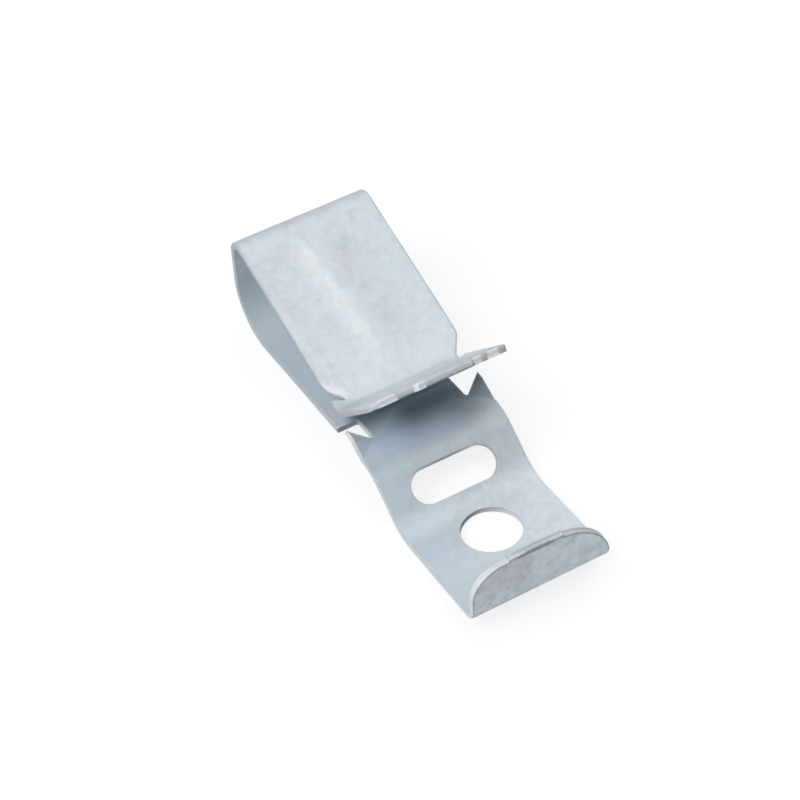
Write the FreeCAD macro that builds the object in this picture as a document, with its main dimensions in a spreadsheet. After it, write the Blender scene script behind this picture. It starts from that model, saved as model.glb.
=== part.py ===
import FreeCAD, Part
import math
import os

import Sketcher
from FreeCAD import Placement, Rotation, Vector

# A girder clip: one strip of spring steel, folded into a jaw that is driven onto the edge of a flange,
# with a flat tail in front that carries a round hole and a stop lip.
# Lengths in millimetres, angles in degrees. A bend's radius is the one on its inside.
dimensions = {
    "stripWidth": 20.0,
    "sheetThickness": 1.0,
    # stop lip at the front end, leaning forward
    "frontLipLength": 6.9,
    "frontLipLean": 5.0,
    "frontBendRadius": 1.0,
    "frontNearCornerRadius": 4.5,
    "frontFarCornerRadius": 8.0,
    "frontNibOffset": -0.8,
    # flat tail
    "tailLength": 13.1,
    "holeDiameter": 8.0,
    "holeSetback": 10.0,
    # ramp from the tail up to the leg
    "rampBendRadius": 6.5,
    "rampLength": 4.4,
    "rampSlope": 42.0,
    "slotLength": 12.4,
    "slotWidth": 4.7,
    "slotSetback": 1.7,
    # crest in front of the leg, where the lower barbs stand
    "crestBendRadius": 5.5,
    "crestLength": 2.3,
    "crestSlope": 14.0,
    "legBendRadius": 1.5,
    # leg under the flange
    "legLength": 25.6,
    # back of the loop
    "backBendRadius": 6.0,
    "wallLength": 5.4,
    "wallLean": 6.0,
    "foldBendRadius": 1.5,
    # plate over the flange, falling to the jaw
    "plateLength": 26.1,
    "plateSlope": 23.0,
    # flared lip that leads the flange in
    "lipBendRadius": 1.0,
    "topLipLength": 12.4,
    "topLipSlope": 40.5,
    "topNearCornerRadius": 1.8,
    "topFarCornerRadius": 0.6,
    "topNibOffset": 0.8,
    # parting nib left near the middle of each free end
    "nibWidth": 8.0,
    "nibHeight": 0.45,
    # lower barbs: a notch in each side of the leg, with the corner in front of it turned up
    "notchDepth": 3.0,
    "notchApex": 0.5,
    "notchEnd": 4.8,
    "barbRoot": 0.8,
    "barbReach": 2.5,
    "barbRise": 1.3,
    # upper teeth: a slanted notch in each side of the plate, with the lip's corner running back past its bend
    "kinkLength": 2.8,
    "nearKinkRadius": 4.0,
    "farKinkRadius": 1.5,
    "toothDepth": 1.75,
    "toothReach": 2.8,
    # blunt ends of barbs and teeth
    "tipWidth": 0.3,
    # how far a barb or tooth runs into the strip that carries it
    "rootOverlap": 0.5,
}

doc = FreeCAD.newDocument("girder_clip")
sheet = doc.addObject("Spreadsheet::Sheet", "Size")
for row, (alias, value) in enumerate(dimensions.items(), start=1):
    sheet.set(f"A{row}", alias)
    sheet.set(f"B{row}", str(value))
    sheet.setAlias(f"B{row}", alias)
doc.recompute()

body = doc.addObject("PartDesign::Body", "GirderClip")
body.Label = "girder_clip"

halfWidth = "Size.stripWidth / 2"
beyondEdge = "Size.stripWidth / 2 + Size.sheetThickness"


def worth(expression):
    return float(sheet.evalExpression(expression))


def originPlane(role):
    return next(item for item in body.Origin.OriginFeatures if item.Role == role)


def newSketch(name, role, placement):
    sketch = body.newObject("Sketcher::SketchObject", name)
    sketch.AttachmentSupport = [(originPlane(role), "")]
    sketch.MapMode = "FlatFace"
    sketch.AttachmentOffset = placement
    return sketch


def dimension(sketch, name, constraint, expression):
    index = sketch.addConstraint(constraint)
    sketch.renameConstraint(index, name)
    sketch.setExpression("Constraints." + name, expression)


class Run:
    # a straight run of the strip's middle surface, with its place along the fold
    def __init__(self, name, start, heading):
        self.name = name
        self.start = start
        self.heading = heading
        self.length = worth(f"Size.{name}Length")
        angle = math.radians(heading)
        self.along = Vector(math.cos(angle), 0, math.sin(angle))
        self.outward = Vector(-math.sin(angle), 0, math.cos(angle))

    def end(self):
        return self.start + self.along * self.length

    def point(self, along, across, outward):
        return self.start + self.along * along + Vector(0, across, 0) + self.outward * outward

    def plane(self):
        # local x along the run, local y across the strip, local z to the strip's outer face
        return Placement(self.start, Rotation(Vector(0, 1, 0), -self.heading))


# the fold, from the front lip's free end round the loop to the top lip's free end:
# each run's heading in the side view, and the bend that follows it
fold = {
    "frontLip": ("-90 - Size.frontLipLean", "frontBend"),
    "tail": ("180", "rampBend"),
    "ramp": ("180 - Size.rampSlope", "crestBend"),
    "crest": ("180 - Size.crestSlope", "legBend"),
    "leg": ("180", "backBend"),
    "wall": ("90 - Size.wallLean", "foldBend"),
    "plate": ("-Size.plateSlope", "lipBend"),
    "topLip": ("Size.topLipSlope", None),
}


def middleRadius(bend):
    return f"Size.{bend}Radius + Size.sheetThickness / 2"


def turnBetween(heading, nextHeading):
    return (nextHeading - heading + 180) % 360 - 180


def layOut():
    # places every run and bend end to end, with the tail's front end at the origin
    runs = {}
    centres = {}
    place = Vector(0, 0, 0)
    names = list(fold)
    for name, nextName in zip(names, names[1:] + [None]):
        heading, bend = fold[name]
        run = Run(name, place, worth(heading))
        runs[name] = run
        if bend is None:
            continue
        turn = turnBetween(run.heading, worth(fold[nextName][0]))
        side = math.copysign(1, turn)
        centre = run.end() + run.outward * (side * worth(middleRadius(bend)))
        centres[bend] = centre
        spin = Rotation(Vector(0, 1, 0), -turn)
        place = centre + spin.multVec(run.end() - centre)
    shift = runs["tail"].start
    for run in runs.values():
        run.start = run.start - shift
    for bend in centres:
        centres[bend] = centres[bend] - shift
    return runs, centres


runs, centres = layOut()


def drawFold():
    # the strip's middle line: straight runs joined by tangent arcs
    sketch = newSketch("FoldLine", "XZ_Plane", Placement())
    lines = {}
    for name, run in runs.items():
        start = Vector(run.start.x, run.start.z, 0)
        end = Vector(run.end().x, run.end().z, 0)
        lines[name] = sketch.addGeometry(Part.LineSegment(start, end), False)
    names = list(fold)
    for name, nextName in zip(names, names[1:]):
        bend = fold[name][1]
        run = runs[name]
        turn = turnBetween(run.heading, runs[nextName].heading)
        centre = Vector(centres[bend].x, centres[bend].z, 0)
        circle = Part.Circle(centre, Vector(0, 0, 1), worth(middleRadius(bend)))
        first = math.radians(run.heading - math.copysign(90, turn))
        last = first + math.radians(turn)
        arc = sketch.addGeometry(Part.ArcOfCircle(circle, min(first, last), max(first, last)), False)
        enters, leaves = (1, 2) if turn > 0 else (2, 1)
        sketch.addConstraint(Sketcher.Constraint("Tangent", lines[name], 2, arc, enters))
        sketch.addConstraint(Sketcher.Constraint("Tangent", arc, leaves, lines[nextName], 1))
        radius = Sketcher.Constraint("Radius", arc, worth(middleRadius(bend)))
        dimension(sketch, bend + "MiddleRadius", radius, middleRadius(bend))
    for name, line in lines.items():
        length = Sketcher.Constraint("Distance", line, runs[name].length)
        dimension(sketch, name + "Run", length, f"Size.{name}Length")
        if fold[name][0] == "180":
            sketch.addConstraint(Sketcher.Constraint("Horizontal", line))
        else:
            angle = Sketcher.Constraint("Angle", line, math.radians(runs[name].heading))
            dimension(sketch, name + "Heading", angle, fold[name][0])
    sketch.addConstraint(Sketcher.Constraint("Coincident", lines["tail"], 1, -1, 1))
    return sketch


def arcBetween(start, end, radius):
    # the arc that runs clockwise from start to end
    chord = end - start
    inward = Vector(chord.y, -chord.x, 0).normalize()
    centre = start + chord * 0.5 + inward * math.sqrt(radius ** 2 - (chord.Length / 2) ** 2)
    first, last = [math.atan2(place.y - centre.y, place.x - centre.x) for place in (end, start)]
    return Part.ArcOfCircle(Part.Circle(centre, Vector(0, 0, 1), radius), first, last)


def drawOutline(sketch, corners):
    # a closed outline; a corner's coordinates are expressions on the sheet, and a third one is the radius
    # of the arc that leaves the corner clockwise
    places = [Vector(worth(corner[0]), worth(corner[1]), 0) for corner in corners]
    sides = []
    for corner, place, nextPlace in zip(corners, places, places[1:] + places[:1]):
        if len(corner) == 3:
            arc = sketch.addGeometry(arcBetween(place, nextPlace, worth(corner[2])), False)
            sides.append((arc, 2, 1))
            radius = Sketcher.Constraint("Radius", arc, worth(corner[2]))
            dimension(sketch, f"side{arc}Radius", radius, corner[2])
        else:
            line = sketch.addGeometry(Part.LineSegment(place, nextPlace), False)
            sides.append((line, 1, 2))
    for corner, (side, start, end), (nextSide, nextStart, _) in zip(corners, sides, sides[1:] + sides[:1]):
        sketch.addConstraint(Sketcher.Constraint("Coincident", side, end, nextSide, nextStart))
        for axis, expression in zip("XY", corner):
            distance = Sketcher.Constraint("Distance" + axis, -1, 1, side, start, worth(expression))
            dimension(sketch, f"side{side}{axis}", distance, expression)


def cutThrough(name, sketch, depth):
    leastCut = worth("Size.sheetThickness") ** 3 / 1000
    before = body.Tip.Shape.Volume
    pocket = body.newObject("PartDesign::Pocket", name)
    pocket.Profile = sketch
    pocket.SideType = "Symmetric"
    pocket.setExpression("Length", depth)
    doc.recompute()
    if pocket.Shape.Volume > before - leastCut:
        raise RuntimeError(name + " cuts nothing")
    return pocket


def foldStrip():
    foldLine = drawFold()
    place = runs["frontLip"].plane().multiply(Placement(Vector(), Rotation(Vector(0, 1, 0), 90)))
    section = newSketch("StripSection", "XY_Plane", place)
    halfThickness = "Size.sheetThickness / 2"
    drawOutline(section, [
        ("-" + halfThickness, "-" + halfWidth),
        (halfThickness, "-" + halfWidth),
        (halfThickness, halfWidth),
        ("-" + halfThickness, halfWidth),
    ])
    strip = body.newObject("PartDesign::AdditivePipe", "FoldedStrip")
    strip.Profile = section
    strip.Spine = (foldLine, [])
    doc.recompute()


def punchTail():
    # round hole through the flat tail
    sketch = newSketch("HoleOutline", "XY_Plane", runs["tail"].plane())
    centre = Vector(worth("Size.holeSetback"), 0, 0)
    circle = sketch.addGeometry(Part.Circle(centre, Vector(0, 0, 1), worth("Size.holeDiameter / 2")), False)
    sketch.addConstraint(Sketcher.Constraint("PointOnObject", circle, 3, -1))
    setback = Sketcher.Constraint("DistanceX", -1, 1, circle, 3, centre.x)
    dimension(sketch, "setback", setback, "Size.holeSetback")
    across = Sketcher.Constraint("Diameter", circle, worth("Size.holeDiameter"))
    dimension(sketch, "across", across, "Size.holeDiameter")
    cutThrough("TailHole", sketch, "2 * Size.sheetThickness")


def punchRamp():
    # slot with round ends, lying across the ramp
    sketch = newSketch("SlotOutline", "XY_Plane", runs["ramp"].plane())
    radius = worth("Size.slotWidth / 2")
    setback = worth("Size.slotSetback")
    reach = worth("(Size.slotLength - Size.slotWidth) / 2")
    up = Vector(0, 0, 1)
    farEnd = Part.ArcOfCircle(Part.Circle(Vector(setback, reach, 0), up, radius), 0, math.pi)
    nearEnd = Part.ArcOfCircle(Part.Circle(Vector(setback, -reach, 0), up, radius), math.pi, 2 * math.pi)
    upperSide = Part.LineSegment(Vector(setback + radius, -reach, 0), Vector(setback + radius, reach, 0))
    lowerSide = Part.LineSegment(Vector(setback - radius, reach, 0), Vector(setback - radius, -reach, 0))
    far, near, upper, lower = sketch.addGeometry([farEnd, nearEnd, upperSide, lowerSide], False)
    for one, oneEnd, other, otherEnd in (
        (upper, 2, far, 1),
        (far, 2, lower, 1),
        (lower, 2, near, 1),
        (near, 2, upper, 1),
    ):
        sketch.addConstraint(Sketcher.Constraint("Tangent", one, oneEnd, other, otherEnd))
    sketch.addConstraint(Sketcher.Constraint("Equal", far, near))
    sketch.addConstraint(Sketcher.Constraint("Symmetric", far, 3, near, 3, -1))
    along = Sketcher.Constraint("DistanceX", -1, 1, far, 3, setback)
    dimension(sketch, "setback", along, "Size.slotSetback")
    endRadius = Sketcher.Constraint("Radius", far, radius)
    dimension(sketch, "endRadius", endRadius, "Size.slotWidth / 2")
    spread = Sketcher.Constraint("DistanceY", near, 3, far, 3, 2 * reach)
    dimension(sketch, "spread", spread, "Size.slotLength - Size.slotWidth")
    cutThrough("RampSlot", sketch, "4 * Size.sheetThickness")


def trimEnd(name, run, freeEnd, shoulder):
    # steps a free end back on both sides of its parting nib
    sketch = newSketch(name + "EndOutline", "XY_Plane", run.plane())
    for sign in "+-":
        nibSide = f"Size.{name}NibOffset {sign} Size.nibWidth / 2"
        outside = f"{sign}({beyondEdge})"
        drawOutline(sketch, [(freeEnd, nibSide), (shoulder, nibSide), (shoulder, outside), (freeEnd, outside)])
    cutThrough(name + "Nib", sketch, "2 * Size.sheetThickness")


def sweepFarCorner():
    # the front lip's far corner falls in one wide arc from the nib's foot to the bend
    nibSide = "Size.frontNibOffset + Size.nibWidth / 2"
    sketch = newSketch("FarCornerOutline", "XY_Plane", runs["frontLip"].plane())
    drawOutline(sketch, [
        ("Size.nibHeight", nibSide, "Size.frontFarCornerRadius"),
        ("Size.frontLipLength", halfWidth),
        ("Size.frontLipLength", beyondEdge),
        ("Size.nibHeight", beyondEdge),
    ])
    cutThrough("FarCorner", sketch, "2 * Size.sheetThickness")


def barbRootPlace():
    # how far along the leg's plane the barb's front end stands
    rootPlace = runs["crest"].point(worth("Size.barbRoot"), 0, -worth("Size.sheetThickness / 2"))
    return runs["leg"].along.dot(rootPlace - runs["leg"].start)


def notchLeg():
    # open notch in each side of the leg; its slanted front end is where the barb is turned up
    rootBack = barbRootPlace()
    sketch = newSketch("LegNotchOutline", "XY_Plane", runs["leg"].plane())
    drawOutline(sketch, [
        ("Size.notchEnd", beyondEdge),
        ("Size.notchEnd", halfWidth + " - Size.notchDepth"),
        ("Size.notchApex", halfWidth + " - Size.notchDepth"),
        (str(rootBack), halfWidth),
        (str(rootBack), beyondEdge),
    ])
    return cutThrough("LegNotch", sketch, "3 * Size.sheetThickness")


def notchPlate():
    # slanted notch that narrows the plate towards the lip's bend and frees the bend's side
    turn = "Size.topLipSlope + Size.plateSlope"
    bendEnd = f"Size.plateLength + (Size.lipBendRadius + Size.sheetThickness) * sin({turn})"
    sketch = newSketch("PlateNotchOutline", "XY_Plane", runs["plate"].plane())
    drawOutline(sketch, [
        ("Size.plateLength - Size.kinkLength", halfWidth),
        ("Size.plateLength", halfWidth + " - Size.toothDepth"),
        (bendEnd, halfWidth + " - Size.toothDepth"),
        (bendEnd, beyondEdge),
        ("Size.plateLength - Size.kinkLength", beyondEdge),
    ])
    return cutThrough("PlateNotch", sketch, "3 * Size.sheetThickness")


def growTooth():
    # the lip's own sheet, running back past the bend to a point
    sketch = newSketch("ToothOutline", "XY_Plane", runs["topLip"].plane())
    root = "Size.lipBendRadius + Size.sheetThickness + Size.rootOverlap"
    drawOutline(sketch, [
        (root, halfWidth + " - Size.toothDepth"),
        ("0", halfWidth + " - Size.toothDepth"),
        ("-Size.toothReach", halfWidth + " - Size.tipWidth"),
        ("-Size.toothReach", halfWidth),
        (root, halfWidth),
    ])
    tooth = body.newObject("PartDesign::Pad", "UpperTooth")
    tooth.Profile = sketch
    tooth.SideType = "Symmetric"
    tooth.setExpression("Length", "Size.sheetThickness")
    doc.recompute()
    return tooth


def turnUpBarb():
    # the corner in front of the leg's notch, turned up along the line from the notch's apex to the strip's edge
    innerFace = -worth("Size.sheetThickness / 2")
    edge = worth(halfWidth)
    apex = runs["leg"].point(worth("Size.notchApex"), edge - worth("Size.notchDepth"), innerFace)
    shoulder = runs["crest"].point(worth("Size.barbRoot"), edge, innerFace)
    tip = runs["leg"].point(worth("Size.barbReach"), edge, innerFace - worth("Size.barbRise"))
    along = (shoulder - apex).normalize()
    below = along.cross(tip - apex).normalize()
    if below.dot(runs["leg"].outward) < 0:
        below = below * -1
    across = below.cross(along)
    sketch = newSketch("BarbOutline", "XY_Plane", Placement(apex, Rotation(along, across, below, "ZXY")))
    inward = across * math.copysign(worth("Size.rootOverlap"), across.dot(apex - tip))
    bluntBack = tip + (apex - tip).normalize() * worth("Size.tipWidth")
    corners = [apex, bluntBack, tip, shoulder, shoulder + inward, apex + inward]
    drawOutline(sketch, [
        (repr((corner - apex).dot(along)), repr((corner - apex).dot(across))) for corner in corners
    ])
    barb = body.newObject("PartDesign::Pad", "LowerBarb")
    barb.Profile = sketch
    barb.setExpression("Length", "Size.sheetThickness")
    doc.recompute()
    return barb


def levelBarb():
    # trims the turned-up corner level with the strip's edge
    rootFront = f"{barbRootPlace()} - 2 * Size.sheetThickness"
    tipBack = "Size.barbReach + 2 * Size.sheetThickness"
    sketch = newSketch("BarbEdgeOutline", "XY_Plane", runs["leg"].plane())
    drawOutline(sketch, [
        (rootFront, halfWidth),
        (tipBack, halfWidth),
        (tipBack, beyondEdge),
        (rootFront, beyondEdge),
    ])
    return cutThrough("BarbEdge", sketch, "2 * Size.barbRise + 6 * Size.sheetThickness")


def mirrorSides(features):
    # the same notches, barbs and teeth on the strip's other side
    mirrored = body.newObject("PartDesign::Mirrored", "OtherSide")
    mirrored.Originals = features
    mirrored.MirrorPlane = (originPlane("XZ_Plane"), [""])
    body.Tip = mirrored
    doc.recompute()


def edgeThrough(point):
    # name of the edge that crosses the sheet at the given place of its middle surface
    reach = worth("Size.sheetThickness / 2")
    nearness = reach / 20
    for number, edge in enumerate(body.Tip.Shape.Edges, start=1):
        if all(abs((vertex.Point - point).Length - reach) < nearness for vertex in edge.Vertexes):
            return f"Edge{number}"
    raise RuntimeError("no corner to round")


def roundCorner(name, point, radius):
    base = (body.Tip, [edgeThrough(point)])
    rounding = body.newObject("PartDesign::Fillet", name)
    rounding.Base = base
    rounding.setExpression("Radius", radius)
    doc.recompute()


def roundShoulder(name, label, run, shoulder):
    # rounds a free end's corner, no larger than the shoulder beside the parting nib or the lip behind it
    spare = "Size.sheetThickness / 10"
    sign, towardsNib = ("-", "+") if label == "Near" else ("+", "-")
    width = f"{halfWidth} - Size.nibWidth / 2 {towardsNib} Size.{name}NibOffset - {spare}"
    height = f"Size.{name}LipLength - Size.nibHeight - {spare}"
    radius = f"min(Size.{name}{label}CornerRadius; {width}; {height})"
    roundCorner(f"{name}{label}Corner", run.point(worth(shoulder), worth(f"{sign}({halfWidth})"), 0), radius)


def roundPlateKinks():
    kink = worth("Size.plateLength - Size.kinkLength")
    for sign, label in (("-", "near"), ("+", "far")):
        corner = runs["plate"].point(kink, worth(f"{sign}({halfWidth})"), 0)
        roundCorner(label + "Kink", corner, f"Size.{label}KinkRadius")


def layAtRest():
    # the clip lies on the outside of its ramp bend and its back bend, level, with its box's foot at the origin
    rampRadius = worth("Size.rampBendRadius + Size.sheetThickness")
    backRadius = worth("Size.backBendRadius + Size.sheetThickness")
    span = centres["rampBend"] - centres["backBend"]
    lift = math.asin((rampRadius - backRadius) / span.Length) - math.atan2(span.z, span.x)
    body.Placement = Placement(Vector(), Rotation(Vector(0, 1, 0), -math.degrees(lift)))
    doc.recompute()
    box = body.Shape.optimalBoundingBox()
    body.Placement = Placement(Vector(-box.Center.x, -box.Center.y, -box.ZMin), body.Placement.Rotation)
    doc.recompute()


def writeParts():
    for item in doc.Objects:
        if "Invalid" in item.State or "Error" in item.State:
            raise RuntimeError(item.Name + " failed")
    shape = body.Shape
    if shape.isNull() or not shape.isValid() or len(shape.Solids) != 1:
        raise RuntimeError("the clip is not one sound solid")
    os.makedirs("parts", exist_ok=True)
    shape.exportStep(f"parts/{body.Label}.step")
    box = shape.optimalBoundingBox()
    print(f"{body.Label}: {box.XLength:.2f} x {box.YLength:.2f} x {box.ZLength:.2f} mm, {shape.Volume:.1f} mm3")


frontShoulder = "Size.nibHeight"
topShoulder = "Size.topLipLength - Size.nibHeight"

foldStrip()
punchTail()
punchRamp()
trimEnd("front", runs["frontLip"], "0", frontShoulder)
trimEnd("top", runs["topLip"], "Size.topLipLength", topShoulder)
sweepFarCorner()
mirrorSides([notchLeg(), notchPlate(), growTooth(), turnUpBarb(), levelBarb()])
roundShoulder("front", "Near", runs["frontLip"], frontShoulder)
roundShoulder("top", "Near", runs["topLip"], topShoulder)
roundShoulder("top", "Far", runs["topLip"], topShoulder)
roundPlateKinks()
layAtRest()
writeParts()
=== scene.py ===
import math

import bpy
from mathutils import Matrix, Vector, noise
from mathutils.bvhtree import BVHTree
from mathutils.geometry import delaunay_2d_cdt


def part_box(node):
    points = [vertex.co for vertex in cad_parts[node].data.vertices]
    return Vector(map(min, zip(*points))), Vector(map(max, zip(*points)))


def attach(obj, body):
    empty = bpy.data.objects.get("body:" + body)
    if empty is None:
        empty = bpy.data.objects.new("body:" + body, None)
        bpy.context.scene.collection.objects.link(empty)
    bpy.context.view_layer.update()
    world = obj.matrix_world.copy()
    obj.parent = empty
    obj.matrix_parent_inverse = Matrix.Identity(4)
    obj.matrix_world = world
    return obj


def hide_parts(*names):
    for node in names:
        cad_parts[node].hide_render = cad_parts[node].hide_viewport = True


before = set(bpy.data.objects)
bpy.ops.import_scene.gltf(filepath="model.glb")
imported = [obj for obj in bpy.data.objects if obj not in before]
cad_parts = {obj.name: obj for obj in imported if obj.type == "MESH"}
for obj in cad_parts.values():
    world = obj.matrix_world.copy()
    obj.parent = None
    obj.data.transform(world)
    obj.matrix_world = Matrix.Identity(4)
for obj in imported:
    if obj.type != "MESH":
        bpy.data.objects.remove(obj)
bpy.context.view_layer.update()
millimetre = 0.001
print("frame loaded:", sorted(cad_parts))


# the clip is one strip, cut flat and then folded, in millimetres and degrees
clip = {
    "width": 20.0,
    "thickness": 1.0,
    # runs from the stop lip round the loop to the flared lip:
    # length, heading in the side view, inside radius of the bend that follows
    "runs": {
        "stopLip": (6.9, -95.0, 1.0),
        "tail": (13.1, 180.0, 6.5),
        "ramp": (4.4, 138.0, 5.5),
        "crest": (2.3, 166.0, 1.5),
        "leg": (25.6, 180.0, 6.0),
        "wall": (5.4, 84.0, 1.5),
        "plate": (26.1, -23.0, 1.0),
        "flare": (12.4, 40.5, 0.0),
    },
    # parting nibs and corners of the free ends
    "nibWidth": 8.0,
    "nibHeight": 0.45,
    "stopNibOffset": -0.8,
    "flareNibOffset": 0.8,
    "stopNearRadius": 4.5,
    "stopFarRadius": 8.0,
    "flareNearRadius": 1.8,
    "flareFarRadius": 0.6,
    # hole and slot
    "holeSetback": 10.0,
    "holeRadius": 4.0,
    "slotSetback": 1.7,
    "slotLength": 12.4,
    "slotRadius": 2.35,
    "slotEase": 0.999,  # keeps the two arcs of each round end apart
    # the jaw: notches and barbs of the leg, slants and teeth of the plate
    "notchApex": 0.5,
    "notchEnd": 4.8,
    "notchEndFar": 5.8,
    "notchDepth": 3.0,
    "notchRadius": 0.25,
    "barbRoot": 0.8,
    "barbTip": (2.78, 10.15),
    "barbLift": 23.0,
    "barbBend": 0.75,
    "barbBlend": (-0.3, 0.1),  # from the notch's apex along the root, where the turn sets in
    "barbLimit": 1.0,  # how far before the notch's end the barb ends
    "kinkLength": 2.8,
    "kinkNearRadius": 4.0,
    "kinkFarRadius": 1.5,
    "toothDepth": 1.75,
    "toothReach": 2.8,
    "toothMargin": 0.1,
    "toothLean": 0.3,  # how far its root runs out for each millimetre back
    "nearToothReach": 1.2,
    "nearSlit": (0.25, 2.2),  # how far its bottom is before the plate's end, and from the edge
    "slitRadius": 0.12,
    "tipWidth": 0.3,
    # cut edges: rolled over on the outer face, nearly sharp on the inner one
    "rollWidth": 0.36,
    "rollDepth": 0.22,
    "sharpWidth": 0.08,
    "sharpDepth": 0.07,
    "rimRows": ((0.06, 0.0), (-0.02, 0.03), (-0.38, 0.045)),  # height in the cut, and how far it is torn in
    "wander": 0.05,
    "wanderLength": 5.0,
    "wanderSeed": 1.3,
    "tear": 0.16,
    "tearLength": 0.7,
    "rimRagged": 2.0,  # how finely the cut is torn, and how differently from row to row
    "rimSpread": 9.0,
    # how unevenly the sheet lies, and the crease that the press left down the plate
    "waveHeight": 0.03,
    "waveLength": 9.0,
    "waveSeed": 3.7,
    "creasePlace": 0.9,
    "creaseWidth": 3.8,
    "creaseHeight": 0.45,
    "creaseStart": 6.0,  # how far into the plate it is full
    "creaseEnd": (9.0, 1.0),  # how far before the plate's end it fades, and is gone
    # the mesh
    "step": 0.4,
    "tearStep": 0.2,
    "arcStep": 0.2,
    "arcLeast": 3,
    "bendStep": 4.0,
    "gridStep": 0.55,
    "rings": (0.03, 0.07, 0.14, 0.24, 0.36),
    "ringClear": 0.97,  # shares of a ring's distance that places keep from the edges
    "gridClear": 1.2,
    "weld": 1e-5,  # what is closer together than this is one place
}
halfWidth = clip["width"] / 2


def walk(piece, along):
    # place and heading on a straight run or a bend
    start, end, place, heading, curvature = piece
    if not curvature:
        return place + Vector((math.cos(heading), math.sin(heading))) * (along - start), heading
    turned = heading + curvature * (along - start)
    chord = Vector((math.sin(turned) - math.sin(heading), math.cos(heading) - math.cos(turned)))
    return place + chord / curvature, turned


def layFold(tilt):
    # runs and bends end to end: where each starts and ends, its place, heading and curvature
    pieces = {}
    along, place = 0.0, Vector((0.0, 0.0))
    names = list(clip["runs"])
    for name, following in zip(names, names[1:] + [None]):
        length, heading, radius = clip["runs"][name]
        heading = math.radians(heading) + tilt
        pieces[name] = (along, along + length, place, heading, 0.0)
        place, along = walk(pieces[name], along + length)[0], along + length
        if following:
            turn = math.remainder(math.radians(clip["runs"][following][1]) + tilt - heading, 2 * math.pi)
            curvature = math.copysign(1 / (radius + clip["thickness"] / 2), turn)
            length = turn / curvature
            pieces[name + "Bend"] = (along, along + length, place, heading, curvature)
            place, along = walk(pieces[name + "Bend"], along + length)[0], along + length
    return pieces


def bendCentre(piece):
    start, end, place, heading, curvature = piece
    return place + Vector((-math.sin(heading), math.cos(heading))) / curvature


def outsideRadius(run):
    return clip["runs"][run][2] + clip["thickness"]


def restTilt():
    # the clip lies on the outside of the bends behind its tail and behind its leg
    level = layFold(0.0)
    span = bendCentre(level["tailBend"]) - bendCentre(level["legBend"])
    rise = math.asin((outsideRadius("tail") - outsideRadius("leg")) / span.length)
    return rise - math.atan2(span.y, span.x)


pieces = layFold(restTilt())
shift = Vector((
    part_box("girder_clip")[0].x / millimetre - bendCentre(pieces["wallBend"]).x + outsideRadius("wall"),
    outsideRadius("tail") - bendCentre(pieces["tailBend"]).y,
))
starts = {name: piece[0] for name, piece in pieces.items()}
stripEnd = starts["end"] = pieces["flare"][1]
print(f"fold laid out: {stripEnd:.1f} mm of strip")


def torn(along):
    # on a nib, where the strip was parted from the next one
    return min(along, stripEnd - along) < clip["nibHeight"] / 2


def spacing(along):
    # shorter steps where the strip is torn or bent tightly
    if torn(along):
        return clip["tearStep"]
    for start, end, place, heading, curvature in pieces.values():
        if curvature and start <= along <= end:
            return min(clip["step"], math.radians(clip["bendStep"]) / abs(curvature))
    return clip["step"]


def around(loop):
    # every item of a closed loop, between its neighbours
    return zip(loop[-1:] + loop[:-1], loop, loop[1:] + loop[:1])


def sides(loop):
    # every side of a closed loop, as the items at its ends
    return zip(loop, loop[1:] + loop[:1])


def arcSteps(centre, start, turn):
    # points along an arc, from start through the turn
    spoke = start - centre
    count = max(clip["arcLeast"], math.ceil(abs(turn) * spoke.length / clip["arcStep"]))
    points = []
    for number in range(count + 1):
        angle = turn * number / count
        cosine, sine = math.cos(angle), math.sin(angle)
        turned = Vector((spoke.x * cosine - spoke.y * sine, spoke.x * sine + spoke.y * cosine))
        points.append(centre + turned)
    return points


def roundOff(corners):
    # each corner becomes an arc of its radius that touches both of its sides
    outline = []
    for before, corner, after in around(corners):
        here, radius = Vector(corner[:2]), corner[2]
        if not radius:
            outline.append(here)
            continue
        arrive = (Vector(before[:2]) - here).normalized()
        leave = (Vector(after[:2]) - here).normalized()
        half = arrive.angle(leave) / 2
        centre = here + (arrive + leave).normalized() * (radius / math.sin(half))
        reach = radius / math.tan(half)
        first, last = here + arrive * reach - centre, here + leave * reach - centre
        turn = math.remainder(math.atan2(last.y, last.x) - math.atan2(first.y, first.x), 2 * math.pi)
        outline += arcSteps(centre, centre + first, turn)
    return outline


def bulge(start, end, radius):
    # arc that turns clockwise from start to end
    chord = end - start
    inward = Vector((chord.y, -chord.x)).normalized()
    centre = start + chord / 2 + inward * math.sqrt(radius ** 2 - (chord.length / 2) ** 2)
    return arcSteps(centre, start, -2 * math.asin(chord.length / 2 / radius))


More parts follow.
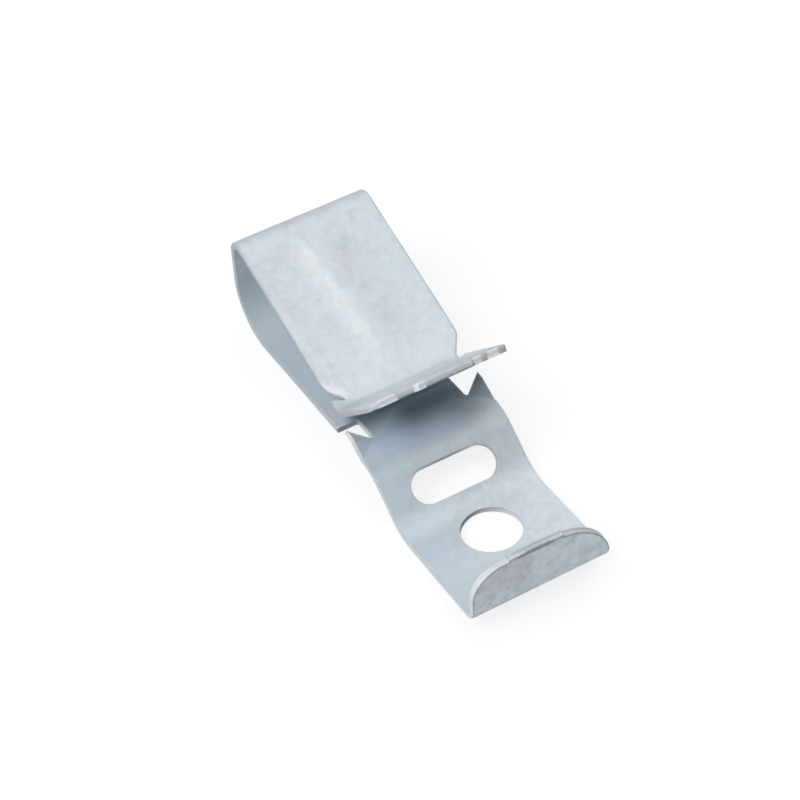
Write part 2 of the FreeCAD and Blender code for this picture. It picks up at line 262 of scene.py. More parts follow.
def sideCorners(side):
    # one side of the blank, from the stop lip's nib back to the flared lip's nib:
    # place along the strip, place across it, radius of the corner
    far = side > 0
    edge = side * halfWidth
    stopNib = clip["stopNibOffset"] + side * clip["nibWidth"] / 2
    flareNib = clip["flareNibOffset"] + side * clip["nibWidth"] / 2
    corners = [(0.0, stopNib, 0.0), (clip["nibHeight"], stopNib, 0.0)]
    if far:
        foot, bend = Vector((clip["nibHeight"], stopNib)), Vector((starts["stopLipBend"], edge))
        corners += [(*point, 0.0) for point in bulge(foot, bend, clip["stopFarRadius"])[1:]]
    else:
        corners.append((clip["nibHeight"], edge, clip["stopNearRadius"]))
    leg, plateEnd, flare = starts["leg"], starts["plateBend"], starts["flare"]
    inner = edge - side * clip["notchDepth"]
    tip = Vector((leg + clip["barbTip"][0], side * clip["barbTip"][1]))
    apex = Vector((leg + clip["notchApex"], inner))
    blunt = tip + (apex - tip).normalized() * clip["tipWidth"]
    notchEnd = leg + clip["notchEndFar" if far else "notchEnd"]
    corners += [
        (starts["crest"] + clip["barbRoot"], edge, 0.0),
        (*tip, 0.0),
        (*blunt, 0.0),
        (*apex, clip["notchRadius"]),
        (notchEnd, inner, clip["notchRadius"]),
        (notchEnd, edge, 0.0),
        (plateEnd - clip["kinkLength"], edge, clip["kinkFarRadius" if far else "kinkNearRadius"]),
    ]
    if far:
        toothRoot, toothTip = edge - clip["toothDepth"], flare - clip["toothReach"]
        corners += [(plateEnd, toothRoot, 0.0), (flare, toothRoot, 0.0)]
    else:
        before, depth = clip["nearSlit"]
        toothTip = plateEnd - clip["nearToothReach"]
        corners.append((plateEnd - before, edge + depth, clip["slitRadius"]))
    corners += [
        (toothTip, edge - side * clip["tipWidth"], 0.0),
        (toothTip, edge, 0.0),
        (stripEnd - clip["nibHeight"], edge, clip["flareFarRadius" if far else "flareNearRadius"]),
        (stripEnd - clip["nibHeight"], flareNib, 0.0),
        (stripEnd, flareNib, 0.0),
    ]
    return corners


def ringHole():
    centre = Vector((starts["tail"] + clip["holeSetback"], 0.0))
    return arcSteps(centre, centre + Vector((clip["holeRadius"], 0.0)), 2 * math.pi)[:-1]


def slotHole():
    middle = starts["ramp"] + clip["slotSetback"]
    radius = clip["slotRadius"]
    reach = clip["slotLength"] / 2
    corners = [(radius, -reach), (radius, reach), (-radius, reach), (-radius, -reach)]
    eased = radius * clip["slotEase"]
    return roundOff([(middle + along, across, eased) for along, across in corners])


def fillIn(loop):
    # points along every side of a loop, close together where the strip is bent
    filled = []
    for here, there in sides(loop):
        length = (there - here).length
        walked = 0.0
        while walked < length - clip["weld"]:
            point = here.lerp(there, walked / length)
            filled.append(point)
            left = length - walked
            walked += left / max(1, round(left / spacing(point.x)))
    return filled


def inward(before, after):
    # the way into the sheet, which lies on the right of each loop
    run = (after - before).normalized()
    return Vector((run.y, -run.x))


def wander(loop):
    # a sheared edge isn't quite straight, and a torn one is ragged
    moved = []
    for before, here, after in around(loop):
        spot = Vector((here.x, here.y, clip["wanderSeed"]))
        depth = clip["wander"] * (1 + noise.noise(spot / clip["wanderLength"])) / 2
        if torn(here.x):
            depth += clip["tear"] * (1 + noise.noise(spot / clip["tearLength"])) / 2
        moved.append(here + inward(before, after) * depth)
    return moved


def drawBlank():
    outline = roundOff(sideCorners(1) + sideCorners(-1)[::-1])
    return [wander(fillIn(outline)), fillIn(ringHole()), fillIn(slotHole())]


loops = drawBlank()
print("blank drawn:", sum(len(loop) for loop in loops), "edge points")


def wallTree():
    # a standing wall on every edge of the blank, to measure how far a place is from the nearest edge
    corners, quads = [], []
    for loop in loops:
        for here, there in sides(loop):
            first = len(corners)
            corners += [(*here, -1.0), (*there, -1.0), (*there, 1.0), (*here, 1.0)]
            quads.append((first, first + 1, first + 2, first + 3))
    return BVHTree.FromPolygons(corners, quads)


edgeTree = wallTree()


def edgeDistance(place):
    return edgeTree.find_nearest((place[0], place[1], 0.0))[3]


def ringPlaces():
    # places beside the edges, where the sheet's faces round over
    places = []
    for loop in loops:
        for before, here, after in around(loop):
            for ring in clip["rings"]:
                place = here + inward(before, after) * ring
                if edgeDistance(place) > ring * clip["ringClear"]:
                    places.append(place)
    return places


def gridPlaces():
    # rows across the strip that start and end each run and bend
    rows = set()
    for start, end, place, heading, curvature in pieces.values():
        count = math.ceil((end - start) / min(clip["gridStep"], spacing((start + end) / 2)))
        rows.update(round(start + (end - start) * number / count, 6) for number in range(count + 1))
    clear = clip["rings"][-1] * clip["gridClear"]
    places = []
    for along in sorted(rows):
        level = along + clip["weld"]
        crossings = []
        for loop in loops:
            for here, there in sides(loop):
                if (here.x > level) != (there.x > level):
                    crossings.append(here.y + (there.y - here.y) * (level - here.x) / (there.x - here.x))
        crossings.sort()
        for low, high in zip(crossings[::2], crossings[1::2]):
            count = round((high - low) / clip["gridStep"])
            for number in range(1, count):
                place = Vector((along, low + (high - low) * number / count))
                if edgeDistance(place) > clear:
                    places.append(place)
    return places


def cutBlank():
    # one flat mesh of the blank: its places and triangles
    places, rims, owners = [], [], []
    for number, loop in enumerate(loops):
        first = len(places)
        places += loop
        rims += [(first + step, first + (step + 1) % len(loop)) for step in range(len(loop))]
        owners += [number] * len(loop)
    places += ringPlaces() + gridPlaces()
    insideOnly = 1
    flat, _, triangles, origins, _, _ = delaunay_2d_cdt(places, rims, [], insideOnly, clip["weld"])
    owners = [owners[origin[0]] if origin and origin[0] < len(owners) else 0 for origin in origins]
    kept = []
    for triangle in triangles:
        corners = {owners[corner] for corner in triangle}
        if corners == {0} or len(corners) > 1:  # all three on one hole's edge would close the hole
            kept.append(tuple(triangle))
    return flat, kept


flatPlaces, flatTriangles = cutBlank()
print("blank cut:", len(flatPlaces), "places,", len(flatTriangles), "triangles")


def rollOver(distance, width, depth):
    # how far a face falls away beside a cut edge
    if distance >= width:
        return 0.0
    return depth * (1 - math.sqrt(max(0.0, 1 - (1 - distance / width) ** 2)))


def smooth(low, high, value):
    part = min(1.0, max(0.0, (value - low) / (high - low)))
    return part * part * (3 - 2 * part)


def unevenness(along, across):
    wave = noise.noise(Vector((along, across, clip["waveSeed"])) / clip["waveLength"]) * clip["waveHeight"]
    plate, end = starts["plate"], starts["plateBend"]
    fading, gone = clip["creaseEnd"]
    inside = smooth(plate, plate + clip["creaseStart"], along)
    inside *= 1 - smooth(end - fading, end - gone, along)
    crease = math.exp(-((across - clip["creasePlace"]) / clip["creaseWidth"]) ** 2)
    return wave + inside * crease * clip["creaseHeight"]


def onFold(along, across, out, piece=None):
    if piece is None:
        piece = next((item for item in pieces.values() if along <= item[1]), pieces["flare"])
    place, heading = walk(piece, along)
    place = place + Vector((-math.sin(heading), math.cos(heading))) * out + shift
    return Vector((place.x, across, place.y))


def inTooth(along, across):
    # the far tooth stays in the flared lip's plane, the near one in the plate's
    back = starts["flare"] - along
    root = halfWidth - clip["toothDepth"] + clip["toothLean"] * back
    return 0 < back < clip["toothReach"] + clip["toothMargin"] and across > root


def onBarb(along, across, out):
    # the corner in front of the leg's notch, turned up about its root line; None where the place is off it
    side = math.copysign(1, across)
    apex = Vector((starts["leg"] + clip["notchApex"], halfWidth - clip["notchDepth"]))
    root = (Vector((starts["crest"] + clip["barbRoot"], halfWidth)) - apex).normalized()
    away = Vector((root.y, -root.x))
    reach = Vector((along, abs(across))) - apex
    beyond, beside = reach.dot(away), reach.dot(root)
    blend, end = clip["barbBlend"], starts["leg"] + clip["notchEnd"] - clip["barbLimit"]
    if beyond <= 0 or beside < blend[0] or along > end:
        return None
    foot = apex + root * beside
    base = onFold(foot.x, side * foot.y, 0.0)
    outward = onFold(foot.x, side * foot.y, 1.0) - base
    forward = Vector((outward.z, 0.0, -outward.x))
    level = forward * away.x + Vector((0.0, side * away.y, 0.0))
    bend, lift = clip["barbBend"], math.radians(clip["barbLift"])
    turned = min(beyond / bend, lift) * smooth(*blend, beside)
    straight = beyond - turned * bend
    place = base + level * (bend * math.sin(turned) + straight * math.cos(turned))
    place -= outward * (bend * (1 - math.cos(turned)) + straight * math.sin(turned))
    place += (outward * math.cos(turned) + level * math.sin(turned)) * out
    place.y = side * min(abs(place.y), halfWidth)
    return place


def stand(along, across, out):
    out += unevenness(along, across)
    if inTooth(along, across):
        return onFold(along, across, out, pieces["flare"])
    return onBarb(along, across, out) or onFold(along, across, out)


def cutEdges():
    # the flat mesh's open edges, with the sheet on the left of each
    edges = set()
    for triangle in flatTriangles:
        for here, after in sides(triangle):
            if (after, here) in edges:
                edges.remove((after, here))
            else:
                edges.add((here, after))
    return sorted(edges)


class Sheet:
    # the folded sheet's points, each with its place in the blank and how near it is to a cut edge
    def __init__(self):
        self.points, self.flat, self.nearness, self.faces = [], [], [], []

    def add(self, along, across, out, nearness):
        self.points.append(stand(along, across, out) * millimetre)
        self.flat += [along, across, out]
        self.nearness.append(nearness)
        return len(self.points) - 1

    def addFaces(self):
        half = clip["thickness"] / 2
        outer, inner = [], []
        for place in flatPlaces:
            distance = edgeDistance(place)
            nearness = max(0.0, 1 - distance / clip["rollWidth"])
            rolled = rollOver(distance, clip["rollWidth"], clip["rollDepth"])
            sharp = rollOver(distance, clip["sharpWidth"], clip["sharpDepth"])
            outer.append(self.add(place.x, place.y, half - rolled, nearness))
            inner.append(self.add(place.x, place.y, sharp - half, nearness))
        for first, second, third in flatTriangles:
            self.faces.append((outer[first], outer[second], outer[third]))
            self.faces.append((inner[third], inner[second], inner[first]))
        return outer, inner

    def addRims(self, outer, inner):
        # the cut itself, in rows from the outer face to the inner one
        edges = cutEdges()
        following, previous = dict(edges), {there: here for here, there in edges}
        rows = {}
        for here, after in following.items():
            place = flatPlaces[here]
            into = inward(flatPlaces[after], flatPlaces[previous[here]])
            row = [outer[here]]
            for out, inset in clip["rimRows"]:
                layer = Vector((place.x, place.y, out * clip["rimSpread"]))
                spot = place + into * inset * (1 + noise.noise(layer * clip["rimRagged"]))
                row.append(self.add(spot.x, spot.y, out, 1.0))
            rows[here] = row + [inner[here]]
        for here, there in edges:
            left, right = rows[there], rows[here]
            for step in range(len(left) - 1):
                self.faces.append((left[step], right[step], right[step + 1], left[step + 1]))

    def build(self, name):
        mesh = bpy.data.meshes.new(name)
        mesh.from_pydata(self.points, [], self.faces)
        mesh.shade_smooth()
        mesh.attributes.new("flat", "FLOAT_VECTOR", "POINT").data.foreach_set("vector", self.flat)
        mesh.attributes.new("edge", "FLOAT", "POINT").data.foreach_set("value", self.nearness)
        piece = bpy.data.objects.new(name, mesh)
        bpy.context.scene.collection.objects.link(piece)
        return piece


sheet = Sheet()
sheet.addRims(*sheet.addFaces())
girderClip = sheet.build("girderClip")
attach(girderClip, "root")
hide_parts("girder_clip")
print("clip folded:", len(girderClip.data.vertices), "points,", len(girderClip.data.polygons), "faces")


class Value:
    # a shader socket that takes part in plain expressions
    def __init__(self, finish, socket):
        self.finish = finish
        self.socket = socket

    def math(self, operation, *others):
        return self.finish.maths(operation, self, *others)

    def __add__(self, other):
        return self.math("ADD", other)

    def __radd__(self, other):
        return self.finish.maths("ADD", other, self)

    def __sub__(self, other):
        return self.math("SUBTRACT", other)

    def __rsub__(self, other):
        return self.finish.maths("SUBTRACT", other, self)

    def __mul__(self, other):
        return self.math("MULTIPLY", other)

    def __rmul__(self, other):
        return self.finish.maths("MULTIPLY", other, self)


class Finish:
    # the node tree of a material or the world
    def __init__(self, owner):
        owner.use_nodes = True
        self.owner = owner
        self.tree = owner.node_tree
        self.tree.nodes.clear()

    def node(self, kind, settings=None, sockets=None, out=None):
        made = self.tree.nodes.new("ShaderNode" + kind)
        for name, value in (settings or {}).items():
            setattr(made, name, value)
        for name, value in (sockets or {}).items():
            socket = made.inputs[name] if isinstance(name, int) else next(
                item for item in made.inputs if item.enabled and item.name == name)
            if isinstance(value, Value):
                self.tree.links.new(value.socket, socket)
            else:
                socket.default_value = value
        output = made.outputs[out] if out else next((item for item in made.outputs if item.enabled), None)
        return Value(self, output)

    def maths(self, operation, *values):
        return self.node("Math", {"operation": operation}, dict(enumerate(values)))

    def mixColour(self, factor, first, second):
        return self.node("Mix", {"data_type": "RGBA"}, {"Factor": factor, "A": first, "B": second})

    def scaled(self, vector, by):
        return self.node("VectorMath", {"operation": "MULTIPLY"}, {0: vector, 1: by})

    def split(self, vector):
        return [self.node("SeparateXYZ", {}, {"Vector": vector}, axis) for axis in "XYZ"]

    def cloud(self, vector, scale, detail=2.0, roughness=0.5):
        sockets = {"Vector": vector, "Scale": scale, "Detail": detail, "Roughness": roughness}
        return self.node("TexNoise", {}, sockets, "Fac")

    def range(self, value, low, high, newLow=0.0, newHigh=1.0):
        settings = {"interpolation_type": "SMOOTHSTEP"}
        sockets = {"Value": value, "From Min": low, "From Max": high, "To Min": newLow, "To Max": newHigh}
        return self.node("MapRange", settings, sockets)

    def near(self, value, middle, reach):
        # 1 at the middle, down to 0 at the reach
        return self.range((value - middle).math("ABSOLUTE"), 0.0, reach, 1.0, 0.0)


# windows that several marks share
innerFace, outerFace = (0.0, -0.3), (0.0, 0.2)
onRim, offRim = (0.94, 0.99), (0.99, 0.94)
stopFace = ("tail", 0.0, "stopLipBend", -1.0)
lipTip = ("end", -1.6, "end", -0.6)
nibSpot = {"about": ("stopLip", 0.30, 0.42), "nearAcross": (clip["stopNibOffset"], clip["nibWidth"] * 0.6)}

zinc = {
    "roughness": 0.5,
    "metallic": 0.36,
    "loopLightDulling": 0.25,  # how much less metallic the loop is where its light is painted in
    # how strongly each pattern roughens the finish
    "mottleRoughness": 0.22,
    "rolledRoughness": 0.12,
    "speckRoughness": 0.08,
    "wornRoughness": 0.2,
    # how strongly each pattern stands out of it
    "mottleHeight": 0.5,
    "rolledHeight": 0.35,
    "fineHeight": 0.25,
    "rimHeight": 1.5,
    "burrHeight": 3.0,
    "bumpStrength": 0.12,
    "bumpDistance": 0.0001,
    # clouds in the plating: scale for a millimetre, detail, roughness, mirrored axes, lean across the strip
    "clouds": {
        "broad": (0.11, 2.0, 0.5, (1.0, 1.0, 1.0), 0.01),
        "lilacDrift": (0.17, 3.0, 0.5, (1.0, -1.0, 1.0), -0.008),
        "drift": (0.17, 3.0, 0.5, (1.0, -1.0, 1.0), 0.0),
        "mottle": (0.9, 4.0, 0.6, (1.0, 1.0, 1.0), 0.0),
        "blotch": (0.42, 3.0, 0.6, (1.0, 1.0, -1.0), 0.0),
        "fine": (6.0, 3.0, 0.6, (1.0, 1.0, 1.0), 0.0),
        "speck": (2.6, 2.0, 0.7, (1.0, 1.0, 1.0), 0.0),
        "fleck": (0.8, 4.0, 0.65, (-1.0, 1.0, 1.0), 0.0),
        "crumble": (1.3, 3.0, 0.7, (1.0, 1.0, 1.0), 0.0),
    },
    "rolledGrain": (0.12, 3.5, 2.0),  # along, across and through the sheet
    "rolledDetail": 3.0,
    # the plate's painted highlight streak and painted lilac shade band: place across at the fold, drift
    # along the plate, reach to the near and to the far side; then where down the plate both come in and fade
    # out
    "streak": (-2.6, 0.078, 3.2, 1.6),
    "band": (0.7, 0.06, 1.6, 4.0),
    "plateMarkStart": (0.5, 5.0),
    "plateMarkEnd": (25.0, 17.0),
    # wear beside a cut edge, and the broken part of the cut, each with how far the clouds break it up
    "wornEdge": (0.35, 0.95),
    "wornSpread": 0.9,
    "brokenDepth": (0.08, -0.06),
    "brokenSpread": 0.3,
    "slantLine": (0.4, 1.1),  # the painted highlight in from the near slant: middle and reach
    # the flared lip's near ear, painted shade past a slanted line
    "earLean": 0.45,
    "earStart": (3.0, 3.5),
    # burrs on the flared lip's end, painted white as glints: place across and reach, and how the clouds
    # break them up
    "glintingBurrs": ((-7.5, 2.4), (-2.9, 1.3), (5.6, 1.0), (7.9, 1.5)),
    "burrEdge": (0.1, 0.6),
    "burrBreak": (0.13, 0.30),
    "tints": {
        "pale": (0.71, 0.772, 0.828, 1.0),
        "lilac": (0.65, 0.67, 0.745, 1.0),
        "teal": (0.69, 0.777, 0.813, 1.0),
        "white": (0.855, 0.895, 0.925, 1.0),
        "dull": (0.44, 0.48, 0.53, 1.0),
        "burnish": (0.66, 0.68, 0.72, 1.0),
        "fracture": (0.54, 0.54, 0.59, 1.0),
        # dark tint of the painted shade
        "grime": (0.17, 0.225, 0.28, 1.0),
        "cool": (0.68, 0.83, 0.95, 1.0),
        "bloom": (0.67, 0.775, 0.835, 1.0),
        "sheen": (0.82, 0.925, 0.98, 1.0),
        "patch": (0.60, 0.68, 0.71, 1.0),
        "spot": (0.30, 0.33, 0.38, 1.0),
    },
    # marks on the pale plating, and painted light and shade, from the first laid on to the last: tint, how
    # strong, and windows that go from where the mark starts to where it is full, 0 and 1 if no other two
    # values follow.
    # A window along the strip names a run and a distance from its start, twice. "about" and "near" give a
    # middle and a reach, "aside" is from the strip's middle, and "either" takes the stronger of its groups.
    "marks": {
        "tealSide": {"tint": "teal", "broad": (0.38, 0.62)},
        "lilacSide": {"tint": "lilac", "amount": 0.5, "lilacDrift": (0.48, 0.66)},
        # painted highlight: a pale streak down the plate
        "streak": {"tint": "white", "amount": 0.95, "mask": "streak", "blotch": (0.30, 0.60, 0.35, 1.0)},
        # painted shade: a lilac band beside the streak
        "band": {"tint": "lilac", "amount": 0.5, "mask": "band"},
        "blotches": {"tint": "dull", "amount": 0.2, "blotch": (0.50, 0.72)},
        "mottling": {"tint": "dull", "amount": 0.16, "mottle": (0.45, 0.75)},
        "specks": {"tint": "dull", "amount": 0.22, "speck": (0.64, 0.72)},
        "stopSpecks": {"tint": "dull", "amount": 0.077, "along": stopFace, "speck": (0.64, 0.72)},
        "flecks": {"tint": "white", "amount": 0.25, "fleck": (0.50, 0.66)},
        # the stop lip
        # painted light over the stop lip's face, lighter towards the far side
        "stopPaintedLight": {"tint": "sheen", "along": stopFace, "across": (-6.0, 7.0, 0.6, 0.9)},
        "stopPatches": {"tint": "patch", "amount": 0.45, "along": stopFace, "blotch": (0.48, 0.60)},
        "stopLilac": {"tint": "lilac", "amount": 0.4, "along": stopFace, "drift": (0.42, 0.58)},
        "stopSpots": {"tint": "spot", "amount": 0.22, "along": stopFace, "mottle": (0.48, 0.68)},
        # the inner face: painted shade in the jaw's mouth, painted light in the loop
        # painted bluish shade tone round the crest under the flared lip, and a bluer tone towards the near
        # side
        "coolFront": {"tint": "cool", "amount": 0.8, "depth": innerFace, "sharpen": (0.0, 1.0), "either": (
            {"about": ("leg", -0.5, 5.5), "across": (6.5, 1.5)},
            {"across": (0.0, -8.0, 0.0, 0.45)},
        )},
        # painted shade in the jaw's mouth, under the flared lip and under the near ear
        "mouthShade": {"tint": "grime", "amount": 0.95, "depth": innerFace, "either": (
            {"about": ("leg", 2.5, 6.0), "across": (-5.8, -0.2)},
            {"about": ("leg", 5.2, 4.2), "across": (-9.0, -6.5)},
        )},
        # painted shade on the far side of the crest under the flared lip
        "farCrest": {"tint": "spot", "amount": 0.6, "depth": innerFace,
                     "about": ("leg", -1.0, 5.0), "across": (1.5, 6.5)},
        # painted light on the near side of the leg, under the near ear
        "nearLeg": {"tint": "white", "amount": 0.55, "depth": innerFace,
                    "about": ("leg", 6.5, 5.0), "across": (-7.5, -9.0)},
        # painted light on the near barb's edge band
        "nearBarb": {"tint": "white", "amount": 0.35, "depth": innerFace,
                     "about": ("leg", -0.5, 4.5), "across": (-6.5, -8.5)},
        "tailFoot": {"tint": "dull", "amount": 0.3, "depth": innerFace,
                     "along": ("tail", 9.0, "tail", 1.0), "across": (7.0, -1.0)},
        # painted light: the loop's inner face lighter, and less metallic
        "bloom": {"tint": "bloom", "amount": 0.8, "depth": innerFace,
                  "along": ("leg", 6.0, "leg", 12.0), "until": ("wall", 2.0, "legBend", 4.0)},
        # cut edges, burnished and then broken
        "worn": {"tint": "burnish", "amount": 0.4, "mask": "worn"},
        "rim": {"tint": "burnish", "amount": 0.8, "edge": onRim},
        "broken": {"tint": "fracture", "amount": 0.8, "mask": "broken", "edge": onRim},
        # painted shade that dims the highlight on the plate's near rim
        "plateRim": {"tint": "dull", "amount": 0.4, "edge": (0.05, 0.4), "across": (-9.0, -9.5),
                     "along": ("wall", 0.0, "plate", 0.0), "until": ("plateBend", -2.0, "plateBend", -5.0)},
        # the outer face's bends and the jaw
        # painted shade along the fold between the wall and the plate
        "fold": {"tint": "dull", "amount": 0.45, "depth": outerFace, "about": ("wallBend", 1.87, 2.2)},
        # painted shade on the flared lip's outer face, darker towards the far side
        "flareFace": {"tint": "dull", "depth": outerFace, "edge": offRim,
                      "along": ("flare", 1.0, "flare", 7.0), "across": (-3.0, 6.0, 0.12, 0.42)},
        # painted shade on the far barb, in the flared lip's shadow
        "farBarb": {"tint": "spot", "amount": 0.35, "depth": innerFace,
                    "about": ("leg", 0.5, 2.6), "across": (6.5, 8.0)},
        # painted highlight beside the near slant
        "slant": {"tint": "white", "amount": 0.8, "mask": "slant", "depth": outerFace,
                  "about": ("plateBend", -2.2, 3.2), "across": (-5.0, -8.0)},
        # painted shade on the near ear past its slanted line
        "ear": {"tint": "dull", "amount": 0.5, "mask": "ear",
                "along": ("flare", 9.0, "flare", 3.0), "across": (-5.0, -8.5)},
        # painted light on the near notch's side
        "notchSide": {"tint": "white", "amount": 0.8, "edge": (0.0, 0.3),
                      "about": ("leg", 2.2, 2.4), "across": (-6.0, -6.8)},
        # painted highlight along the near cut edge in front of the leg
        "nearRim": {"tint": "white", "amount": 0.5, "edge": onRim,
                    "along": ("leg", 3.2, "leg", 2.4), "across": (-8.0, -9.5)},
        # painted shade in the bend between the plate and the flared lip
        "lipBend": {"tint": "dull", "amount": 0.3, "depth": outerFace, "about": ("plateBend", 0.83, 2.6)},
        # painted shadow of the flared lip on the leg's notch end
        "notchFace": {"tint": "grime", "amount": 0.45, "edge": onRim,
                      "about": ("leg", clip["notchEnd"], 0.7)},
        # the free ends, the hole and the slot
        # lighter upper strip of the flared lip's end cut: partly burnished, partly a painted highlight
        "lipEnd": {"tint": "white", "amount": 0.42, "edge": onRim, "along": lipTip},
        # painted shade on the lower part of the flared lip's end cut
        "lipUnder": {"tint": "grime", "amount": 0.8, "edge": (0.2, 0.8), "depth": (-0.1, -0.4),
                     "along": lipTip},
        "scuff": {"tint": "dull", "mottle": (0.35, 0.6, 0.3, 0.8),
                  "along": ("end", -4.0, "end", -1.0), "across": (4.0, 7.0)},
        # painted highlight on the stop lip's rim, strongest at the near corner
        "stopRim": {"tint": "white", "edge": onRim, "along": stopFace, "across": (-2.0, -6.0, 0.15, 0.6)},
        "stopOutline": {"tint": "grime", "amount": 0.6, "depth": (0.05, 0.2), "along": stopFace,
                        "nearEdge": (0.6, 0.36)},
        # painted shade on the walls of the hole and the slot, darker on the near side
        "holeAndSlotShade": {"tint": "grime", "edge": onRim, "across": (2.0, -2.0, 0.0, 0.7), "sharpen": (0.0, 0.2),
                    "either": ({"about": ("tailBend", 0.0, 12.0), "aside": (7.6, 6.6)},)},
        # painted light on the hole's far rim
        "holeLight": {"tint": "white", "amount": 0.6, "edge": onRim, "across": (-1.0, 2.5),
                      "aside": (6.0, 5.0), "about": ("tail", clip["holeSetback"], 5.0)},
        # painted shade along the slot's upper edge, the one towards the crest
        "slotTop": {"tint": "grime", "amount": 0.65, "edge": (0.0, 0.3), "nearAcross": (-0.5, 6.5),
                    "about": ("ramp", clip["slotSetback"] + clip["slotRadius"], 0.8)},
        # painted glints on the burrs
        "glintingBurrs": {"tint": "white", "amount": 0.95, "mask": "burr"},
        # painted shadow of the nib on the stop lip's face
        "nibShadow": {"tint": "grime", "amount": 0.6, "depth": (0.05, 0.2), "sharpen": (0.25, 0.55),
                      "either": (nibSpot,)},
        # painted shadow along the nib, on its cut and its inner face
        "stopNib": {"tint": "grime", "amount": 0.6, "depth": (-0.1, -0.4), **nibSpot},
    },
}


def plateMark(finish, fields, mark):
    # a soft line down the plate, for the painted highlight streak and the painted shade band, faded out at
    # its ends
    place, drift, nearReach, farReach = mark
    down = fields["along"] - starts["plate"]
    offset = fields["across"] - down * drift - place
    line = finish.range(offset, -nearReach, 0.0) * finish.range(offset, farReach, 0.0)
    return line * finish.range(down, *zinc["plateMarkStart"]) * finish.range(down, *zinc["plateMarkEnd"])


def slantHighlight(finish, fields):
    # a painted highlight line beside the slant that leads to the near tooth's slit
    before, inset = clip["nearSlit"]
    run = Vector((clip["kinkLength"] - before, inset)).normalized()
    down = fields["along"] - starts["plateBend"] + clip["kinkLength"]
    return finish.near((fields["across"] + halfWidth) * run.x - down * run.y, *zinc["slantLine"])


# the burrs on the flared lip's end: painted glints in the colour, and bumps in the height
def burrMark(finish, fields):
    burr = sum(finish.near(fields["across"], middle, reach) for middle, reach in zinc["glintingBurrs"])
    burr = burr * markMask(finish, fields, {"along": lipTip, "edge": zinc["burrEdge"]})
    return finish.range(burr * fields["crumble"], *zinc["burrBreak"])


def zincFields(finish):
    # what varies over the clip: the place in the blank, the nearness to a cut, the clouds, which lie about
    # 0.5, and masks that aren't plain windows
    place = finish.scaled(finish.node("TexCoord", out="Object"), (1 / millimetre,) * 3)
    flat = finish.node("Attribute", {"attribute_name": "flat"}, out="Vector")
    edge = finish.node("Attribute", {"attribute_name": "edge"}, out="Fac")
    along, across, depth = finish.split(flat)
    fields = {"along": along, "across": across, "depth": depth, "edge": edge}
    fields["aside"] = across.math("ABSOLUTE")
    for name, (scale, detail, roughness, mirrored, lean) in zinc["clouds"].items():
        fields[name] = finish.cloud(finish.scaled(place, mirrored), scale, detail, roughness) + across * lean
    fields["rolled"] = finish.cloud(finish.scaled(flat, zinc["rolledGrain"]), 1.0, zinc["rolledDetail"])
    for name in ("streak", "band"):
        fields[name] = plateMark(finish, fields, zinc[name])
    fields["worn"] = finish.range(edge + (fields["mottle"] - 0.5) * zinc["wornSpread"], *zinc["wornEdge"])
    ragged = depth + (fields["fine"] - 0.5) * zinc["brokenSpread"]
    fields["broken"] = finish.range(ragged, *zinc["brokenDepth"])
    fields["slant"] = slantHighlight(finish, fields)
    earLine = along - across * zinc["earLean"] - starts["plateBend"]
    fields["ear"] = finish.range(earLine, *zinc["earStart"])
    fields["burr"] = burrMark(finish, fields)
    return fields


def markMask(finish, fields, mark):
    # how strongly a mark shows at each place: its amount and windows, multiplied
    windows = [mark.get("amount", 1.0)]
    if "mask" in mark:
        windows.append(fields[mark["mask"]])
    if "either" in mark:
        first, *others = [markMask(finish, fields, group) for group in mark["either"]]
        for other in others:
            first = first.math("MAXIMUM", other)
        windows.append(finish.range(first, *mark["sharpen"]) if "sharpen" in mark else first)
    if "about" in mark:
        run, offset, reach = mark["about"]
        windows.append(finish.near(fields["along"], starts[run] + offset, reach))
    for key in ("along", "until"):
        if key in mark:
            run, offset, fullRun, fullOffset = mark[key]
            windows.append(finish.range(fields["along"], starts[run] + offset, starts[fullRun] + fullOffset))
    for key, name in (("nearAcross", "across"), ("nearEdge", "edge")):
        if key in mark:
            windows.append(finish.near(fields[name], *mark[key]))
    for name in ("across", "aside", "depth", "edge", *zinc["clouds"]):
        if name in mark:
            windows.append(finish.range(fields[name], *mark[name]))
    return math.prod(windows)


def zincPlating():
    finish = Finish(bpy.data.materials.new("zincPlating"))
    fields = zincFields(finish)
    tint = zinc["tints"]["pale"]
    for mark in zinc["marks"].values():
        tint = finish.mixColour(markMask(finish, fields, mark), tint, zinc["tints"][mark["tint"]])

    mottle, rolled, fine = fields["mottle"], fields["rolled"], fields["fine"]
    rim = finish.range(fields["edge"], *onRim)
    specks = finish.range(fields["speck"], *zinc["marks"]["specks"]["speck"])
    roughness = zinc["roughness"] + (mottle - 0.5) * zinc["mottleRoughness"]
    roughness += (rolled - 0.5) * zinc["rolledRoughness"]
    roughness += specks * zinc["speckRoughness"] + fields["worn"] * zinc["wornRoughness"]
    height = mottle * zinc["mottleHeight"] + rolled * zinc["rolledHeight"]
    height += fine * (zinc["fineHeight"] + rim * zinc["rimHeight"] + fields["burr"] * zinc["burrHeight"])
    bloom = markMask(finish, fields, zinc["marks"]["bloom"])
    bump = finish.node("Bump", {}, {
        "Strength": zinc["bumpStrength"],
        "Distance": zinc["bumpDistance"],
        "Height": height,
    })
    shader = finish.node("BsdfPrincipled", {}, {
        "Base Color": tint,
        "Metallic": zinc["metallic"] - bloom * zinc["loopLightDulling"],
        "Roughness": roughness,
        "Normal": bump,
    })
    finish.node("OutputMaterial", {}, {"Surface": shader})
    return finish.owner


girderClip.data.materials.append(zincPlating())
print("zinc plating on")


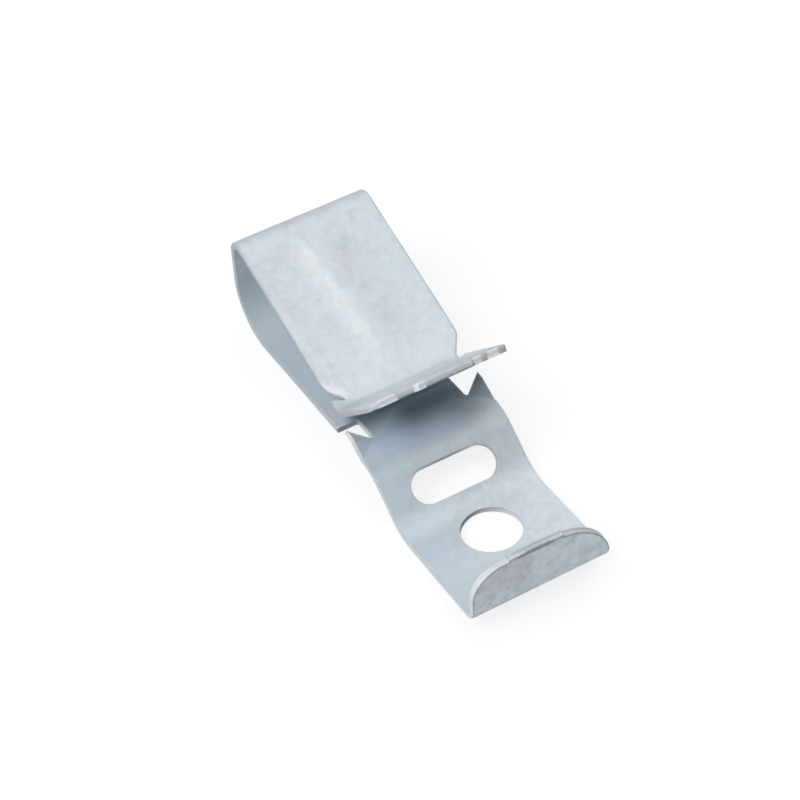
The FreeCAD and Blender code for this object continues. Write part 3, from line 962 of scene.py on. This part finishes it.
stage = {
    # the floor is a wide disc that turns up into a low wall
    "floorRadius": 3.0,
    "wallHeight": 0.9,
    "wallBend": 0.4,
    "floorSegments": 96,
    "wallBendSteps": 8,
    "floorColour": (0.32, 0.32, 0.32, 1.0),
    "floorGlow": 0.76,
    "glowColour": (1.0, 1.0, 1.0, 1.0),
    "skyColour": (1.0, 1.0, 1.0, 1.0),
    "skyStrength": 0.06,
    # lamps: place, size, brightness
    "sideLamp": ((0.0, -0.58, 0.55), 0.90, 2.35),
    "topLamp": ((-0.105, 0.224, 0.76), 0.45, 0.62),
    "backLamp": ((-0.394, 0.33, 0.613), 0.90, 0.95),
    "frontLamp": ((0.283, 0.283, 0.693), 0.40, 1.4),
    "eye": (0.167761, -0.100301, 0.242906),
    "target": (-0.000042, -0.001959, 0.008),
    "lens": 106.56,
    "sensor": 36.0,
    "nearest": 0.01,
}


def layFloor():
    bend, steps, segments = stage["wallBend"], stage["wallBendSteps"], stage["floorSegments"]
    profile = [(stage["floorRadius"] - bend, 0.0)]
    for number in range(1, steps + 1):
        angle = math.pi / 2 * number / steps
        profile.append((profile[0][0] + bend * math.sin(angle), bend * (1 - math.cos(angle))))
    profile.append((stage["floorRadius"], stage["wallHeight"]))
    points, faces = [], [tuple(range(segments))]
    for row, (radius, height) in enumerate(profile):
        for number in range(segments):
            angle = 2 * math.pi * number / segments
            points.append((radius * math.cos(angle), radius * math.sin(angle), height))
            if row:
                here, there = (row - 1) * segments + number, (row - 1) * segments + (number + 1) % segments
                faces.append((here, here + segments, there + segments, there))
    mesh = bpy.data.meshes.new("floor")
    mesh.from_pydata(points, [], faces)
    floor = bpy.data.objects.new("floor", mesh)
    bpy.context.scene.collection.objects.link(floor)
    # the floor glows only where it is seen, so that it is white and still takes the clip's shadow
    finish = Finish(bpy.data.materials.new("paleFloor"))
    camera, glossy, clear = [finish.node("LightPath", out=f"Is {ray} Ray")
                             for ray in ("Camera", "Glossy", "Transmission")]
    seen = camera.math("MAXIMUM", glossy).math("MAXIMUM", clear)
    paper = finish.node("BsdfDiffuse", {}, {"Color": stage["floorColour"]})
    glow = finish.node("Emission", {}, {"Color": stage["glowColour"], "Strength": stage["floorGlow"]})
    lit = finish.node("AddShader", {}, {0: paper, 1: glow})
    surface = finish.node("MixShader", {}, {0: seen, 1: paper, 2: lit})
    finish.node("OutputMaterial", {}, {"Surface": surface})
    mesh.materials.append(finish.owner)


def lightStage():
    world = bpy.data.worlds.new("studio")
    bpy.context.scene.world = world
    finish = Finish(world)
    sky = finish.node("Background", {}, {"Color": stage["skyColour"], "Strength": stage["skyStrength"]})
    finish.node("OutputWorld", {}, {"Surface": sky})
    for name in ("sideLamp", "topLamp", "backLamp", "frontLamp"):
        place, size, brightness = stage[name]
        data = bpy.data.lights.new(name, "AREA")
        data.size = size
        data.energy = brightness * math.pi * size ** 2
        lamp = bpy.data.objects.new(name, data)
        lamp.location = place
        lamp.rotation_euler = (-lamp.location).to_track_quat("-Z", "Y").to_euler()
        bpy.context.scene.collection.objects.link(lamp)


def aimCamera():
    data = bpy.data.cameras.new("camera")
    data.lens = stage["lens"]
    data.sensor_width = stage["sensor"]
    data.clip_start = stage["nearest"]
    camera = bpy.data.objects.new("camera", data)
    camera.location = stage["eye"]
    camera.rotation_euler = (Vector(stage["target"]) - camera.location).to_track_quat("-Z", "Y").to_euler()
    bpy.context.scene.collection.objects.link(camera)
    bpy.context.scene.camera = camera


layFloor()
lightStage()
aimCamera()
bpy.context.scene.view_settings.view_transform = "Standard"
print("stage set")
